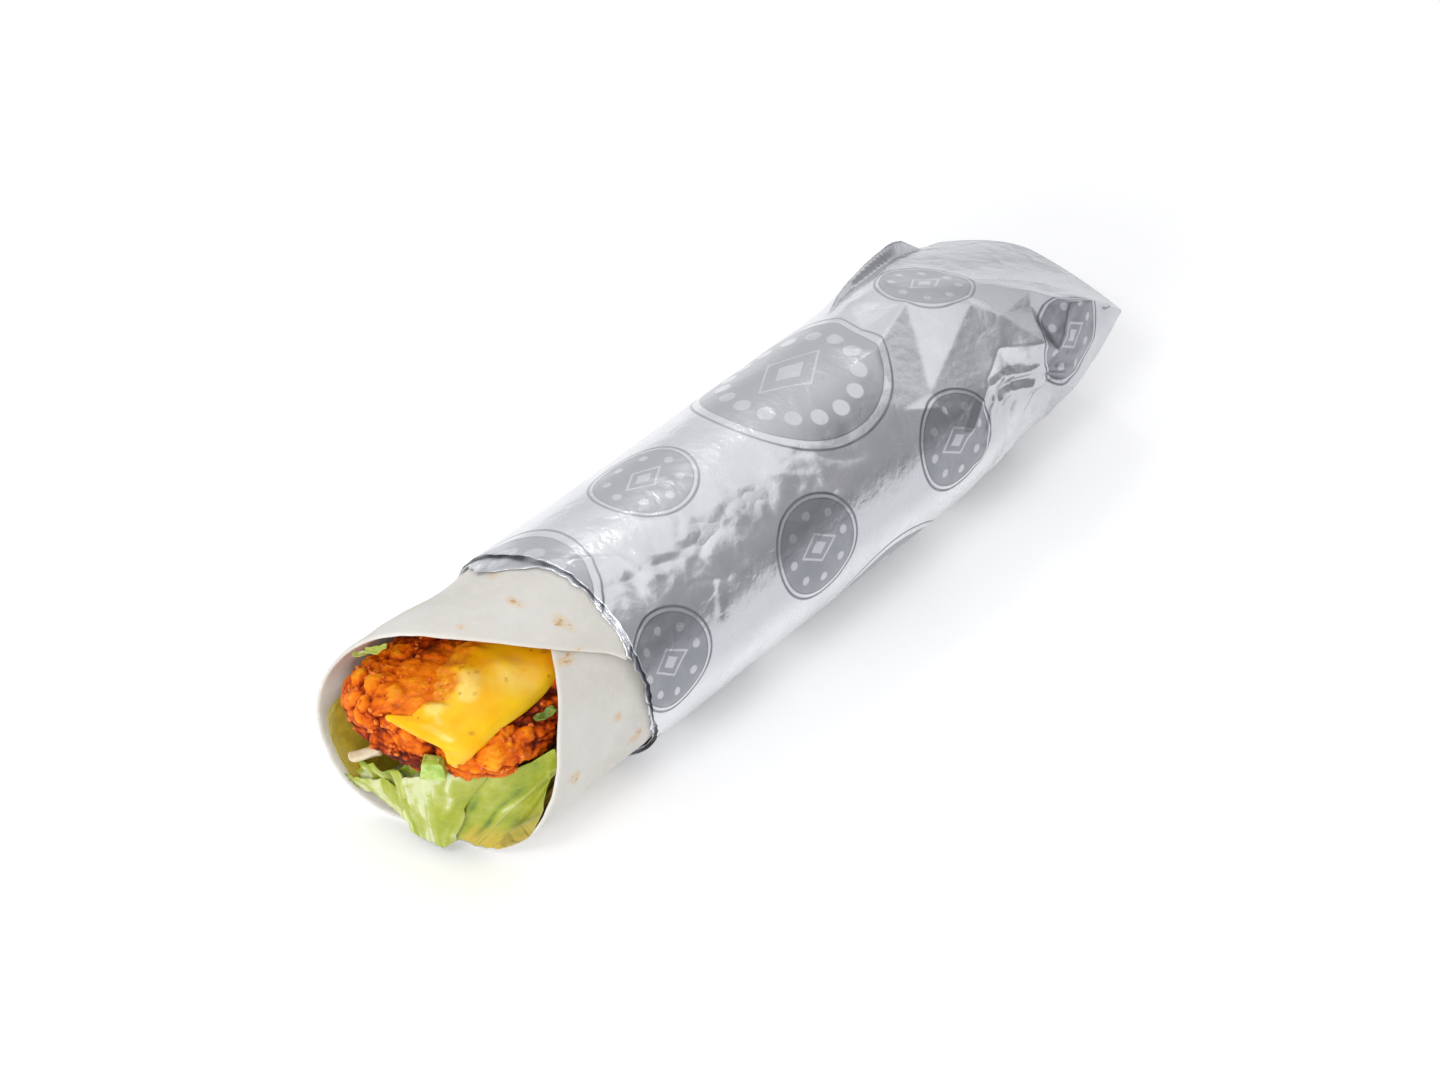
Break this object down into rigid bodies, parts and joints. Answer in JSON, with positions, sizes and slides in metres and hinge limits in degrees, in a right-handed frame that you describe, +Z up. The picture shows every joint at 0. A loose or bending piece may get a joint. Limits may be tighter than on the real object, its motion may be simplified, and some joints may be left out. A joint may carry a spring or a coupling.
{
  "type": "chicken wrap",
  "caption": "Rolled flour tortilla round a breaded chicken fillet, melted cheese, lettuce and pickles, in a foil wrapper that is open at the mouth and folded flat at the far end.",
  "frame": {"origin": "under the middle of the object's box, on the surface it lies on", "axes": "+Y along the wrap from the open mouth to the folded foil end, +X to the right seen from the mouth, +Z up"},
  "size_m": [0.06, 0.2402, 0.0571],
  "materials": {
    "foil": "satin, crumpled, with a grey printed pattern of rings",
    "tortilla": "matt, with small toasted spots",
    "chicken": "craggy fried breading, slightly moist",
    "cheese": "melted, glossy",
    "lettuce": "moist leaves",
    "pickle": "wet",
    "onion": "moist"
  },
  "bodies": {
    "root": {"foil_wrap": "foil", "tortilla": "tortilla", "chicken_fillet": "chicken", "cheese_slice": "cheese", "lettuce": "lettuce", "pickle_left": "pickle", "pickle_right": "pickle", "onion_strip": "onion", "lettuce_dice": "lettuce"}
  },
  "joints": []
}
